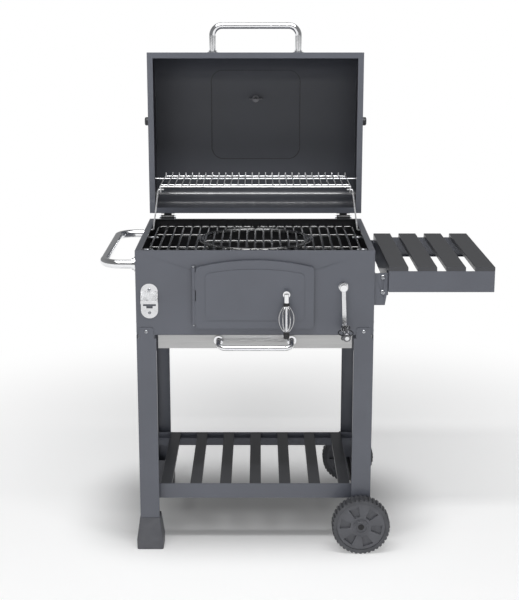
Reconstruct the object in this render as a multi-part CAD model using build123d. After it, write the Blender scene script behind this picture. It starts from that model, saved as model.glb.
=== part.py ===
from build123d import *
import math
import os

# Charcoal grill trolley. Millimetres, +Z up, front towards -Y, +X to the right seen from the front.
# The parts are drawn with X = 0 at the firebox's middle, Y = 0 at its front face and Z = 0 on the
# ground, and the whole object is moved onto the centre of its footprint when it is written.

# ---- driving dimensions ----
sheet = 2.0
box_width = 600.0
box_depth = 456.0
rim_z = 798.0
box_bottom_z = 580.0
skirt_z = 545.0
side_flange = 17.0
front_hem = 5.5
bush_radius = 9.0

leg_sheet = 2.5
leg_width = 49.5
leg_depth = 40.0
leg_bottom_z = 10.0
short_leg_bottom_z = 56.0
leg_shoulder_z = 571.0
lip_top_z = 537.0
foot_top_z = 85.0

wheel_radius = 75.0
wheel_width = 35.0
axle_x = 274.5
axle_radius = 5.0

shelf_top_z = 168.0
shelf_rail_height = 40.0
shelf_inset = 28.0
shelf_slat_width = 30.0
shelf_slat_pitch = 78.0

table_x0 = 335.5
table_x1 = 601.0
table_top_z = 756.0
table_depth = 453.0
table_apron = 65.0
table_slat_drop = 11.0
table_slot = 22.8
table_slot_pitch = 72.0

door_half_width = 148.0
door_bottom_z = 599.5
door_side_top_z = 756.0
door_peak_z = 774.5
door_hinge_x = -154.0
door_hinge_y = -7.0
door_knuckles = ((609.0, 670.8), (698.2, 756.0))
fixed_knuckle = (671.1, 697.9)

opener_x = -265.5
opener_half_width = 21.5
opener_sheet = 2.5
opener_screw_z = (698.0, 638.5)

latch_x = 78.5
latch_z = 693.5
latch_reach = 113.5
crank_x = 221.3
crank_z = 706.8
crank_reach = 106.0
cage_radius = 18.5

lift_arm = 60.0
lift_angle = 50.0
tray_half_width = 205.0
tray_y0 = 45.0
tray_y1 = 411.0
tray_bottom_z = 604.0
tray_height = 55.0

grate_top_z = 786.0
grate_rod = 3.0
grate_pitch = 23.5
insert_opening = 149.0

lid_width = 602.0
lid_y0 = 6.0
lid_y1 = box_depth
lid_rim_z = rim_z + 1.0
lid_flange = 16.0
hinge_y = box_depth + 12.0
hinge_z = rim_z + 2.0
hinge_half_spacing = 250.0

strut_foot = (318.0, 791.0)
rack_arm = (20.0, 108.0)
rack_wire = 1.5

drawer_half_width = 246.5
drawer_z0 = 543.5
drawer_z1 = 579.0

# ---- values worked out from them ----
half = box_width / 2
mid_y = box_depth / 2
grate_rod_z = grate_top_z - grate_rod
cross_rod_z = grate_rod_z - 2 * grate_rod + 0.6
drop = lift_arm * math.sin(math.radians(lift_angle))
reach = lift_arm * math.cos(math.radians(lift_angle))
tray_pin_x = crank_x - reach
tray_pin_z = crank_z - drop
idle_pivot_x = -tray_pin_x + reach
rack_pivot = (hinge_y + rack_arm[0], hinge_z + rack_arm[1])
rack_front_eye = (strut_foot[0] + rack_arm[0], strut_foot[1] + rack_arm[1])
rack_z = rack_pivot[1]
grip_x = crank_x + 4.0
grip_z = crank_z - crank_reach
hinge_line = Axis((0, hinge_y, hinge_z), (1, 0, 0))

bodies = {}
nodes = {}


def add(body, name, shape):
    """Keeps a finished sub-part under its name, in the rigid body it belongs to."""
    nodes[name] = shape
    bodies.setdefault(body, []).append(name)


def block(x0, x1, y0, y1, z0, z1):
    size = Box(x1 - x0, y1 - y0, z1 - z0)
    return Pos((x0 + x1) / 2, (y0 + y1) / 2, (z0 + z1) / 2) * size


def along_x(radius, x0, x1, y, z):
    return Pos((x0 + x1) / 2, y, z) * Rot(0, 90, 0) * Cylinder(radius, abs(x1 - x0))


def along_y(radius, x, y0, y1, z):
    return Pos(x, (y0 + y1) / 2, z) * Rot(90, 0, 0) * Cylinder(radius, abs(y1 - y0))


def along_z(radius, x, y, z0, z1):
    return Pos(x, y, (z0 + z1) / 2) * Cylinder(radius, abs(z1 - z0))


def tube(points, radii, outer, wall=0.0):
    """A round bar, or a tube when it has a wall, along straight runs joined by tangent arcs."""
    path = FilletPolyline(*points, radius=radii)
    bar = sweep(Plane(origin=path @ 0, z_dir=path % 0) * Circle(outer), path=path)
    if not wall:
        return bar
    return bar - sweep(Plane(origin=path @ 0, z_dir=path % 0) * Circle(outer - wall), path=path)


def mirrored_x(shape):
    return mirror(shape, about=Plane.YZ)


def mirrored_y(shape):
    """The rear twin of a front part."""
    return Pos(0, box_depth, 0) * mirror(shape, about=Plane.XZ)


def join(shapes):
    """One solid from pieces that are welded or folded from one sheet."""
    shapes = list(shapes)
    return shapes[0].fuse(*shapes[1:]) if len(shapes) > 1 else shapes[0]


def group(shapes):
    """Separate solids kept under one name."""
    solids = []
    for shape in shapes:
        solids.extend(shape.solids())
    return Compound(children=solids)


def arched_profile(half_width, bottom, side_top, peak, corner):
    """A panel outline in the XZ plane: square sides, an arched top, rounded corners."""
    with BuildSketch(Plane.XZ) as outline:
        with BuildLine():
            left, right = (-half_width, side_top), (half_width, side_top)
            Polyline(left, (-half_width, bottom), (half_width, bottom), right)
            ThreePointArc(right, (0, peak), left)
        make_face()
        low = outline.vertices().sort_by(Axis.Y)[0:2]
        fillet(low, corner)
        high = outline.vertices().sort_by(Axis.Y)[-2:]
        fillet(high, corner)
    return outline.sketch


def arched_plate(half_width, bottom, side_top, peak, corner, y0, y1):
    """The same outline given a thickness from y0 to y1."""
    face = arched_profile(half_width, bottom, side_top, peak, corner)
    return Pos(0, y1, 0) * extrude(face, y1 - y0)


def caged_grip(length, radius, wire):
    """Six bulging wires between two ferrules along +Z, starting at Z = 0, with a clear middle."""
    ferrule = 8.0
    inner = 5.5
    ring = Cylinder(inner + wire, ferrule) - Cylinder(3.05, ferrule)
    parts = [Pos(0, 0, ferrule / 2) * ring, Pos(0, 0, length - ferrule / 2) * ring]
    low = (inner, 0, ferrule - 1)
    high = (inner, 0, length - ferrule + 1)
    path = ThreePointArc(low, (radius, 0, length / 2), high)
    strand = sweep(Plane(origin=path @ 0, z_dir=path % 0) * Circle(wire), path=path)
    for turn in range(6):
        parts.append(Rot(0, 0, 60 * turn) * strand)
    return join(parts)


# ---- firebox ----
def firebox(door_knuckle):
    hem = half - side_flange
    front = block(-half, half, 0, sheet, box_bottom_z, rim_z)
    front += block(-hem, hem, sheet, front_hem, rim_z - sheet, rim_z)
    front -= along_y(bush_radius, crank_x, -1, 3, crank_z)
    back = mirrored_y(front)
    front -= arched_plate(door_half_width - 12, door_bottom_z + 11.5, 742, 757, 8, -1, 3)
    side = block(half - sheet, half, sheet, box_depth - sheet, box_bottom_z, rim_z)
    side += block(half - sheet, half, leg_depth + 1, box_depth - leg_depth - 1, skirt_z, box_bottom_z)
    side += block(half - side_flange, half - sheet, sheet, box_depth - sheet, rim_z - sheet, rim_z)
    side -= along_x(2.05, half - sheet - 1, half + 1, strut_foot[0], strut_foot[1])
    floor = block(-half + sheet, half - sheet, sheet, box_depth - sheet, box_bottom_z, box_bottom_z + sheet)
    floor_cut = (box_bottom_z - 1, box_bottom_z + sheet + 1)
    floor -= block(-215, 215, 50, box_depth - 50, *floor_cut)
    for y_low in (4, box_depth - leg_depth + 1):
        notch = block(half - 5, half, y_low, y_low + 35, *floor_cut)
        floor -= notch
        floor -= mirrored_x(notch)
    add("stand", "firebox_front", front + door_knuckle)
    add("stand", "firebox_back", back)
    add("stand", "firebox_side_right", side)
    add("stand", "firebox_side_left", mirrored_x(side))
    add("stand", "firebox_floor", floor)


# ---- legs, feet, axle, wheels ----
def legs():
    inner = half - leg_width

    def angle(bottom):
        front_face = block(inner, half, -leg_sheet, 0, bottom, leg_shoulder_z)
        side_face = block(half - sheet, half, -leg_sheet, leg_depth, bottom, box_bottom_z)
        lip = block(inner, inner + sheet, 0, 8, bottom, lip_top_z)
        back_lip = block(half - 12, half - sheet, leg_depth - sheet, leg_depth, bottom, lip_top_z)
        tab = block(inner + 6.5, half - 6.5, -leg_sheet, 0, leg_shoulder_z, leg_shoulder_z + 28)
        tab = fillet(tab.edges().filter_by(Axis.Y).sort_by(Axis.Z)[-2:], 5)
        joggle = block(half - 2 * sheet, half - sheet, 4, leg_depth - 3, leg_shoulder_z - 11, 640)
        return join([front_face, side_face, lip, back_lip, tab, joggle])

    long_leg = mirrored_x(angle(leg_bottom_z))
    short_leg = angle(short_leg_bottom_z)
    short_leg -= along_y(axle_radius + 0.05, axle_x, -10, 20, wheel_radius)
    for name, leg in (("left", long_leg), ("right", short_leg)):
        add("stand", "leg_front_" + name, leg)
        add("stand", "leg_rear_" + name, mirrored_y(leg))

    top = 1.6
    foot_x0, foot_x1 = -half - top, -inner + top
    foot_y0, foot_y1 = -leg_sheet - top, leg_depth + top

    def ring(grow, z):
        width = foot_x1 - foot_x0 + 2 * grow
        depth = foot_y1 - foot_y0 + 2 * grow
        centre = ((foot_x0 + foot_x1) / 2, (foot_y0 + foot_y1) / 2, z)
        return Plane(centre) * RectangleRounded(width, depth, 3 + grow / 3)

    flare = loft([ring(0, foot_top_z), ring(8.5, 25)])
    base = loft([ring(8.5, 25), ring(8.0, 0)])
    pocket = block(-half - 0.3, -inner + 0.3, -leg_sheet - 0.3, leg_depth + 0.3, leg_bottom_z, foot_top_z + 5)
    foot = flare + base - pocket
    add("stand", "foot_front_left", foot)
    add("stand", "foot_rear_left", mirrored_y(foot))


def wheels():
    front_face = -42.0
    inner_face = front_face + wheel_width
    hub_radius = 63.0
    lugs = 40

    tyre = along_y(wheel_radius - 3, axle_x, front_face, inner_face, wheel_radius)
    tyre -= along_y(hub_radius, axle_x, front_face - 1, inner_face + 1, wheel_radius)
    top = 2 * wheel_radius
    lug = block(axle_x - 3.2, axle_x + 3.2, front_face + 1, inner_face - 1, top - 5, top)
    spin = Axis((axle_x, 0, wheel_radius), (0, 1, 0))
    tyre = join([tyre] + [lug.rotate(spin, 360 / lugs * turn) for turn in range(lugs)])

    hub = along_y(hub_radius, axle_x, front_face + 2, inner_face - 2, wheel_radius)
    hub += along_y(20, axle_x, front_face - 1, inner_face + 3, wheel_radius)
    with BuildSketch(Plane.XZ) as wedge:
        with BuildLine():
            Polyline((-7, 27), (7, 27), (13.5, 54), (-13.5, 54), close=True)
        make_face()
    pocket = Pos(axle_x, front_face + 8, wheel_radius) * extrude(wedge.sketch, 12)
    back_pocket = Pos(axle_x, inner_face + 2, wheel_radius) * extrude(wedge.sketch, 12)
    for turn in range(6):
        angle = 60 * turn + 39
        hub -= pocket.rotate(spin, angle)
        hub -= back_pocket.rotate(spin, angle)
    hub -= along_y(13.5, axle_x, front_face - 2, front_face + 8, wheel_radius)
    hub -= along_y(axle_radius + 0.05, axle_x, front_face - 5, inner_face + 5, wheel_radius)
    for name, place in (("front", lambda s: s), ("rear", mirrored_y)):
        add("wheel_" + name, "tyre_" + name, place(tyre))
        add("wheel_" + name, "hub_" + name, place(hub))

    axle = along_y(axle_radius, axle_x, front_face + 4, box_depth - front_face - 4, wheel_radius)
    nut = along_y(8.5, axle_x, front_face - 1, front_face + 7, wheel_radius)
    nut = fillet(nut.edges().filter_by(GeomType.CIRCLE).sort_by(Axis.Y)[0], 2.5)
    nut -= along_y(axle_radius, axle_x, front_face + 4, front_face + 8, wheel_radius)
    collar = along_y(8.5, axle_x, inner_face + 3.4, -leg_sheet, wheel_radius)
    collar -= along_y(axle_radius, axle_x, inner_face, 0, wheel_radius)
    add("stand", "wheel_axle", group([axle, nut, mirrored_y(nut), collar, mirrored_y(collar)]))


# ---- bottom shelf ----
def shelf():
    end = half - sheet
    face_bottom = shelf_top_z - shelf_rail_height
    ledge_z = shelf_top_z - 11
    rail = block(-end, end, shelf_inset, shelf_inset + sheet, face_bottom, shelf_top_z)
    rail += block(-end, end, shelf_inset + sheet, shelf_inset + 24, ledge_z - sheet, ledge_z)
    for x in (-280, 280):
        rail -= along_y(3, x, shelf_inset - 1, shelf_inset + 3, 148)
    back_lip_gap = block(-half, -half + 12.5, leg_depth - sheet - 0.2, leg_depth + 0.2, 100, 200)
    rail -= back_lip_gap
    rail -= mirrored_x(back_lip_gap)
    add("stand", "shelf_front_rail", rail)
    add("stand", "shelf_rear_rail", mirrored_y(rail))

    y0, y1 = shelf_inset + sheet, box_depth - shelf_inset - sheet
    slats = []
    for place in range(-3, 4):
        x = place * shelf_slat_pitch
        slat = block(x - shelf_slat_width / 2, x + shelf_slat_width / 2, y0, y1, ledge_z, shelf_top_z - 0.5)
        inside = block(x - shelf_slat_width / 2 + 1.5, x + shelf_slat_width / 2 - 1.5,
                       y0 + 26, y1 - 26, ledge_z - 1, shelf_top_z - 2)
        slats.append(slat - inside)
    add("stand", "shelf_slats", group(slats))


# ---- side table ----
def side_table():
    apron_top = table_top_z - table_slat_drop
    apron_bottom = table_top_z - table_apron
    front = block(table_x0, table_x1, 0, sheet, apron_bottom, apron_top)
    front += block(table_x0 + sheet, table_x1 - sheet, sheet, 14, apron_bottom, apron_bottom + sheet)
    rear = Pos(0, table_depth, 0) * mirror(front, about=Plane.XZ)
    inner_end = block(table_x0, table_x0 + sheet, sheet, table_depth - sheet, apron_bottom, apron_top)
    outer_end = Pos(table_x1 - table_x0 - sheet, 0, 0) * inner_end
    add("stand", "table_aprons", group([front, rear]))
    add("stand", "table_ends", group([inner_end, outer_end]))
    first_slot = 383.8
    edges = [table_x0]
    for place in range(3):
        start = first_slot + place * table_slot_pitch
        edges.extend((start, start + table_slot))
    edges.append(table_x1)
    slats = []
    for x0, x1 in zip(edges[0::2], edges[1::2]):
        slat = block(x0, x1, 0, table_depth, apron_top, table_top_z)
        slat = fillet(slat.edges().filter_by(Axis.Y).sort_by(Axis.Z)[-2:], 2.0)
        slat -= block(x0 + sheet, x1 - sheet, sheet, table_depth - sheet, apron_top - 1, table_top_z - sheet)
        slats.append(slat)
    add("stand", "table_slats", group(slats))

    top, bottom, tongue_bottom = 738.0, 655.5, 681.0
    ear_x = half + 33.5
    with BuildSketch(Plane.XZ) as ear:
        with BuildLine():
            Polyline((half, top), (half, bottom), (ear_x - 6, bottom), (ear_x, apron_bottom), (ear_x, top),
                     close=True)
        make_face()
    plate = Pos(0, 10.5, 0) * extrude(ear.sketch, 2.5)
    plate += block(half, half + 2.5, 10.5, 46, bottom, top)
    tongue = block(half + 10, table_x0, 10.5, 13, tongue_bottom, top)
    tongue += block(table_x0 - 2.5, table_x0, 13, 46, tongue_bottom, top)
    bolt = []
    for z in (727.8, 689.0):
        hole = along_y(3.0, half + 21.3, 0, 20, z)
        plate -= hole
        tongue -= hole
        screw = along_y(3.0, half + 21.3, 8, 17, z)
        screw += along_y(6.0, half + 21.3, 4.5, 8, z)
        screw += along_y(5.5, half + 21.3, 13, 17, z)
        bolt.append(screw)
    add("stand", "table_box_brackets", group([plate, mirrored_y(plate)]))
    add("stand", "table_tongues", group([tongue, mirrored_y(tongue)]))
    return bolt + [mirrored_y(b) for b in bolt]


# ---- side handle and bottle opener ----
def side_handle():
    y0, y1, z = 19.0, 437.0, 759.0
    wall_x, outer_x = -half - 3, -384.0
    bar = tube([(wall_x, y0, z), (outer_x, y0, z), (outer_x, y1, z), (wall_x, y1, z)], [48, 48], 11, 1.5)
    flange = along_x(19, wall_x, -half, y0, z)
    flange += along_x(15, wall_x - 6, wall_x, y0, z) - along_x(11, wall_x - 7, wall_x, y0, z)
    far = Pos(0, y1 - y0, 0) * flange
    add("stand", "side_handle", group([bar, flange, far]))


def bottle_opener():
    """A round-ended plate whose upper half is pressed out into a hooked lip."""
    x = opener_x
    z0, z1 = 624.0, 713.5
    plate = block(x - opener_half_width, x + opener_half_width, -opener_sheet, 0, z0, z1)
    plate = fillet(plate.edges().filter_by(Axis.Y), opener_half_width - 0.5)
    plate -= block(x - 16, x + 16, -3, 1, 656, 688)
    plate -= block(x - 8, x + 8, -3, 1, 650, 657)
    with BuildSketch(Plane.YZ) as hook:
        with BuildLine():
            Polyline((0, 694), (-2.5, 694), (-14, 672), (-14, 663.5), (-11.5, 663.5), (-11.5, 671.5),
                     (0, 692), close=True)
        make_face()
    lip = Pos(x - opener_half_width, 0, 0) * extrude(hook.sketch, 2 * opener_half_width)
    for z in opener_screw_z:
        plate -= along_y(2.0, x, -4, 1, z)
    add("stand", "bottle_opener", plate + lip)


# ---- fire door ----
def fire_door():
    pan = arched_plate(door_half_width, door_bottom_z, door_side_top_z, door_peak_z, 10, -10, -1)
    inset = 1.5
    pan -= arched_plate(door_half_width - inset, door_bottom_z + inset, door_side_top_z - inset,
                        door_peak_z - inset, 9, -8.5, 0)
    field = arched_plate(124, 621.5, 740, 752, 12, -12, -8.5)
    field -= arched_plate(122.5, 623, 738.5, 750.5, 11, -10.5, -8)
    door = pan + field
    door += along_y(14, latch_x, -12, -4, latch_z)
    door -= along_y(5.05, latch_x, -20, 5, latch_z)
    for z0, z1 in door_knuckles:
        door += along_z(5, door_hinge_x, door_hinge_y, z0, z1)
        door += block(door_hinge_x, -door_half_width + 1, -10, -8.5, z0, min(z1, door_side_top_z - 12))
        door -= along_z(2.55, door_hinge_x, door_hinge_y, z0 - 1, z1 + 1)
    add("door", "fire_door", door)

    middle = along_z(5, door_hinge_x, door_hinge_y, *fixed_knuckle)
    middle += block(door_hinge_x - 2, door_hinge_x + 2, door_hinge_y + 3, 0, *fixed_knuckle)
    middle -= along_z(2.5, door_hinge_x, door_hinge_y, 600, 760)
    pin = along_z(2.5, door_hinge_x, door_hinge_y, 605.5, 758)
    pin += along_z(4, door_hinge_x, door_hinge_y, 758, 760)
    return middle, pin


def door_latch():
    shaft = along_y(5.0, latch_x, -34, 3.2, latch_z)
    collar = along_y(9, latch_x, -40, -14.5, latch_z)
    hub = along_z(6.5, latch_x, -40, latch_z - 20, latch_z + 2)
    rod = along_z(3.05, latch_x, -40, latch_z - latch_reach, latch_z - 10)
    spindle = join([shaft, collar, hub, rod])
    grip = caged_grip(latch_reach - 33, cage_radius, 1.6)
    add("latch", "latch_grip", Pos(latch_x, -40, latch_z - 21) * Rot(180, 0, 0) * grip)
    tip = along_z(7.5, latch_x, -40, latch_z - latch_reach, latch_z - latch_reach + 11.8)
    tip = fillet(tip.edges().filter_by(GeomType.CIRCLE).sort_by(Axis.Z)[0], 4)
    tip -= along_z(3.05, latch_x, -40, latch_z - latch_reach, latch_z - latch_reach + 21)
    add("latch", "latch_tip", tip)
    tongue = block(latch_x - 8, latch_x + 8, 3.2, 5.2, latch_z - 64, latch_z + 8)
    tongue = fillet(tongue.edges().filter_by(Axis.Y), 6)
    add("latch", "latch_spindle", spindle + tongue)


# ---- crank, lift and charcoal tray ----
def crank():
    shaft = along_y(5, crank_x, -26, box_depth + 4, crank_z)
    shaft += along_y(8, crank_x, -27, -5.3, crank_z)
    add("crank", "crank_shaft", shaft)
    tilt = math.degrees(math.atan2(grip_x - crank_x, crank_reach))
    length = math.hypot(grip_x - crank_x, crank_reach)
    bar = block(-5, 5, -20, -15, -length, 0)
    bar += along_y(9, 0, -20, -15, -length)
    bar -= along_y(8, 0, -30, 0, 0)
    bar += along_y(11, 0, -20, -15, 0) - along_y(8, 0, -30, 0, 0)
    arm = Pos(crank_x, 0, crank_z) * Rot(0, -tilt, 0) * bar
    pin = along_y(3, grip_x, -106, -20, grip_z)
    add("crank", "crank_arm", join([arm, pin, along_y(5, grip_x, -112, -106, grip_z)]))
    grip = Pos(grip_x, -20.3, grip_z) * Rot(90, 0, 0) * caged_grip(77, cage_radius, 1.6)
    cap = along_y(10.5, grip_x, -105.7, -97.3, grip_z)
    cap = fillet(cap.edges().filter_by(GeomType.CIRCLE).sort_by(Axis.Y)[0], 3)
    cap -= along_y(3.05, grip_x, -120, -90, grip_z)
    add("crank_grip", "crank_grip_cage", grip)
    add("crank_grip", "crank_grip_cap", cap)


def lift():
    planes = ((28.0, 32.0), (box_depth - 32.0, box_depth - 28.0))

    def link(x, hole, pin_hole, y0, y1):
        far_x, far_z = x - reach, tray_pin_z
        bar = block(-6, 6, y0, y1, -lift_arm, 0)
        placed = Pos(x, 0, crank_z) * Rot(0, math.degrees(math.atan2(reach, drop)), 0) * bar
        placed += along_y(10, x, y0, y1, crank_z)
        placed += along_y(8, far_x, y0, y1, far_z)
        placed -= along_y(hole, x, y0 - 1, y1 + 1, crank_z)
        placed -= along_y(pin_hole, far_x, y0 - 1, y1 + 1, far_z)
        return placed

    add("crank", "lift_arms_driven", group([link(crank_x, 5.0, 3.05, *p) for p in planes]))
    add("idle_arms", "lift_arms_idle", group([link(idle_pivot_x, 4.05, 4.0, *p) for p in planes]))
    front_pin = along_y(4, idle_pivot_x, sheet, 34, crank_z)
    front_pin += along_y(6.5, idle_pivot_x, sheet, 27.6, crank_z)
    bush = along_y(12, crank_x, -5, 0, crank_z) + along_y(9, crank_x, 0, 6, crank_z)
    bush -= along_y(5.05, crank_x, -8, 10, crank_z)
    add("stand", "lift_bearings", group([bush, mirrored_y(bush), front_pin, mirrored_y(front_pin)]))

    top = tray_bottom_z + tray_height
    tray = block(-tray_half_width, tray_half_width, tray_y0, tray_y1, tray_bottom_z, top)
    tray -= block(-tray_half_width + 1.5, tray_half_width - 1.5, tray_y0 + 1.5, tray_y1 - 1.5,
                  tray_bottom_z + 1.5, top + 1)
    for row in range(9):
        y = tray_y0 + 43 + row * 35
        for column in range(5):
            x = -140 + column * 70
            tray -= block(x - 22, x + 22, y - 3, y + 3, tray_bottom_z - 1, tray_bottom_z + 3)
    for x in (-tray_pin_x, tray_pin_x):
        lug = block(x - 12, x + 12, tray_y0 - 2, tray_y0, tray_pin_z - 30, tray_pin_z + 9)
        lug += along_y(3, x, 25, tray_y0 - 2, tray_pin_z)
        tray = tray + lug + mirrored_y(lug)
    add("tray", "charcoal_tray", tray)
    grate = []
    for x in range(-180, 181, 30):
        grate.append(along_y(3, x, tray_y0 + 8, tray_y1 - 8, tray_bottom_z + 14.4))
    for y in (tray_y0 + 60, tray_y1 - 60):
        grate.append(along_x(3, -190, 190, y, tray_bottom_z + 9))
        for x in (-190, 190):
            grate.append(along_z(3, x, y, tray_bottom_z + 1.5, tray_bottom_z + 11))
    add("tray", "fire_grate", join(grate))


# ---- ash drawer ----
def ash_drawer():
    front_y = 5.0
    front = block(-drawer_half_width, drawer_half_width, front_y, front_y + 1.5, drawer_z0, drawer_z1)
    for x in (-92.5, 92.5):
        front -= along_y(2.5, x, 0, 10, 565)
    add("drawer", "drawer_front", front)
    y0, y1 = front_y + 1.5, box_depth - 26.0
    outer = 232.0
    body = block(-outer, outer, y0, y1, drawer_z0 + 3, 575.5)
    body -= block(-outer + 1.2, outer - 1.2, y0 + 1.2, y1 - 1.2, drawer_z0 + 4.2, 590)
    body += block(-outer - 9, -outer, y0, y1, 574.3, 575.5)
    body += block(outer, outer + 9, y0, y1, 574.3, 575.5)
    add("drawer", "drawer_body", body)
    bail = tube([(-92.5, front_y - 2, 565), (-92.5, -36, 555), (92.5, -36, 555), (92.5, front_y - 2, 565)],
                [20, 20], 6.5)
    rosette = along_y(12, -92.5, front_y - 5.5, front_y, 565)
    rosette -= along_y(7.6, -92.5, front_y - 9, front_y - 2, 565)
    add("drawer", "drawer_handle", group([bail, rosette, mirrored_x(rosette)]))
    ledge = block(237, 243.5, 44, y1, 572.3, 574)
    web = block(243.5, 245, 44, y1, 572.3, box_bottom_z)
    foot = block(245, 256, 44, y1, box_bottom_z - 1.5, box_bottom_z)
    runner = join([ledge, web, foot])
    add("stand", "drawer_runners", group([runner, mirrored_x(runner)]))


# ---- cooking grates ----
def grates():
    centre = (0.0, mid_y)
    y0, y1 = 10.0, box_depth - 10.0
    rods = []
    for place in range(12):
        x = grate_pitch / 2 + place * grate_pitch
        if x < insert_opening:
            gap = math.sqrt(insert_opening ** 2 - x ** 2)
            rods.append(along_y(grate_rod, x, y0, centre[1] - gap, grate_rod_z))
            rods.append(along_y(grate_rod, x, centre[1] + gap, y1, grate_rod_z))
        else:
            rods.append(along_y(grate_rod, x, y0, y1, grate_rod_z))
    for y in (18.0, 142.0, box_depth - 142.0, box_depth - 18.0):
        away = abs(y - centre[1])
        x0 = grate_pitch / 2 - 5 if away > insert_opening else math.sqrt(insert_opening ** 2 - away ** 2) - 1
        rods.append(along_x(grate_rod, x0, 274, y, cross_rod_z))
    ring = Pos(0, centre[1], grate_rod_z - 0.4) * Torus(insert_opening, grate_rod + 0.6)
    ring &= block(6, 200, 0, box_depth, 700, 900)
    rods.append(ring)
    for angle in (-50, 50):
        turn = Pos(0, centre[1], 0) * Rot(0, 0, angle)
        rods.append(turn * block(136, 151, -5, 5, grate_rod_z - 7, grate_rod_z - 4.6))
        rods.append(turn * block(147, 151, -5, 5, grate_rod_z - 5, grate_rod_z - 2))
    half_grate = join(rods)
    add("stand", "cooking_grate_right", half_grate)
    add("stand", "cooking_grate_left", mirrored_x(half_grate))

    ring_radius = insert_opening - 2 * grate_rod - 2.5
    half_ring = Pos(0, centre[1], grate_rod_z - 0.4) * Torus(ring_radius, grate_rod + 0.6)
    half_ring &= block(0, 200, 0, box_depth, 700, 900)
    pieces = [half_ring, mirrored_x(half_ring)]
    for place in range(-6, 7):
        x = place * 22.0
        gap = math.sqrt(ring_radius ** 2 - x ** 2)
        pieces.append(along_y(grate_rod - 0.2, x, centre[1] - gap, centre[1] + gap, grate_rod_z))
    pieces.append(along_x(grate_rod, -ring_radius, ring_radius, centre[1], cross_rod_z))
    add("insert", "grate_insert", join(pieces))
    studs = []
    for x0, x1 in ((-half + sheet, -266), (266, half - sheet)):
        for y in (142.0, box_depth - 142.0):
            studs.append(along_x(4, x0, x1, y, cross_rod_z - grate_rod - 4.05))
    add("stand", "grate_studs", group(studs))


# ---- hood, drawn closed and turned open about its hinge line ----
def opened(shape):
    return shape.rotate(hinge_line, -90)


def hood_section(shift, inset):
    """The hood's side outline in the YZ plane, set in by the sheet and lifted by a shift."""
    base = lid_rim_z
    points = [
        (lid_y0 + inset, base),
        (lid_y0 + 20 + inset, base + 236 - inset + shift),
        (lid_y0 + 205, base + 258 - inset + shift),
        (lid_y1 - 6 - inset, base + 240 - inset + shift),
        (lid_y1 - inset, base),
    ]
    with BuildSketch(Plane.YZ) as outline:
        with BuildLine():
            FilletPolyline(*points, radius=[95 - inset, 600 - inset, 28 - inset])
            Line(points[-1], points[0])
        make_face()
    return outline.sketch


def hood_solid(shift, inset, half_width):
    return Pos(-half_width, 0, 0) * extrude(hood_section(shift, inset), 2 * half_width)


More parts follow.
